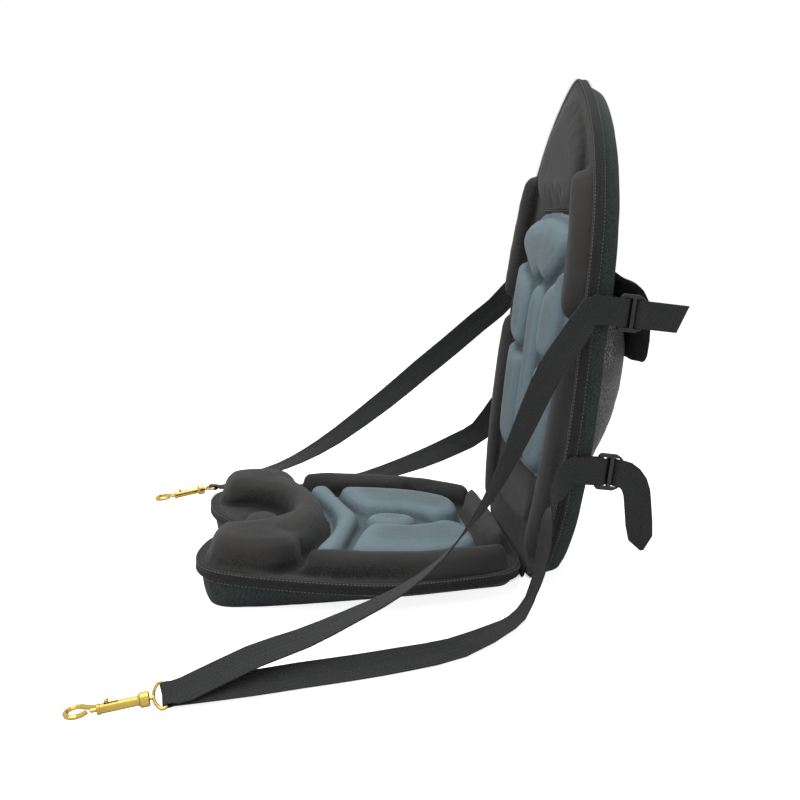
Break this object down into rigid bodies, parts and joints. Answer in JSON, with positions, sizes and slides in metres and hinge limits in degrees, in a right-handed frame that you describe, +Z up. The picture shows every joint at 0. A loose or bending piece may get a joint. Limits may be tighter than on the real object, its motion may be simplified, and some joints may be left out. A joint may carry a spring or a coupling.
{
  "type": "kayak seat",
  "caption": "Folding kayak seat with moulded foam pads on base and pointed backrest, mesh rear pocket, side webbing with ladder locks and brass swivel bolt snaps.",
  "frame": {"origin": "on the floor under the middle of the seat base, near its rear third", "axes": "+Z up, the seat faces -Y, the sitter's left is +X"},
  "size_m": [0.7294, 0.6294, 0.5795],
  "materials": {
    "black_fabric": "matt woven cover",
    "gusset_fabric": "matt woven side cloth",
    "grey_fabric": "matt smooth knit",
    "binding_tape": "ribbed tape",
    "foam": "closed-cell foam",
    "stiffener_sheet": "satin sheet",
    "pocket_mesh": "open mesh",
    "webbing": "woven webbing",
    "plastic": "satin",
    "brass": "polished",
    "spring_steel": "bright wire"
  },
  "bodies": {
    "seat": {"seat_top_panel": "black_fabric", "back_front_panel": "black_fabric", "pocket_flap": "black_fabric", "seat_cover_tray": "gusset_fabric", "back_cover_tray": "gusset_fabric", "seat_grey_pad": "grey_fabric", "back_grey_pad": "grey_fabric", "seat_binding": "binding_tape", "back_binding": "binding_tape", "hinge_strip": "binding_tape", "pocket_band": "binding_tape", "seat_foam_core": "foam", "back_foam_core": "foam", "back_stiffener": "stiffener_sheet", "pocket_mesh": "pocket_mesh", "left_webbing": "webbing", "right_webbing": "webbing", "left_upper_anchor": "webbing", "left_lower_anchor": "webbing", "right_upper_anchor": "webbing", "right_lower_anchor": "webbing", "left_upper_buckle": "plastic", "left_lower_buckle": "plastic", "right_upper_buckle": "plastic", "right_lower_buckle": "plastic", "left_snap_eye": "brass", "right_snap_eye": "brass"},
    "left_snap": {"left_snap_body": "brass", "left_snap_spring": "spring_steel"},
    "left_bolt": {"left_snap_bolt": "brass"},
    "right_snap": {"right_snap_body": "brass", "right_snap_spring": "spring_steel"},
    "right_bolt": {"right_snap_bolt": "brass"}
  },
  "joints": [
    {"name": "left_snap_swivel", "type": "hinge", "parent": "seat", "child": "left_snap", "pos_m": [0.384, -0.209, 0.0105], "axis": [0.1607, -0.9814, -0.1045], "continuous": true},
    {"name": "left_bolt_slide", "type": "slide", "parent": "left_snap", "child": "left_bolt", "axis": [-0.1607, 0.9814, 0.1045], "range_m": [0, 0.0075], "stiffness_N_per_m": 120, "springref_m": -0.004, "deforming": ["left_snap_spring"]},
    {"name": "right_snap_swivel", "type": "hinge", "parent": "seat", "child": "right_snap", "pos_m": [-0.309, -0.217, 0.0105], "axis": [0.3238, -0.9403, -0.1045], "continuous": true},
    {"name": "right_bolt_slide", "type": "slide", "parent": "right_snap", "child": "right_bolt", "axis": [-0.3238, 0.9403, 0.1045], "range_m": [0, 0.0075], "stiffness_N_per_m": 120, "springref_m": -0.004, "deforming": ["right_snap_spring"]}
  ]
}
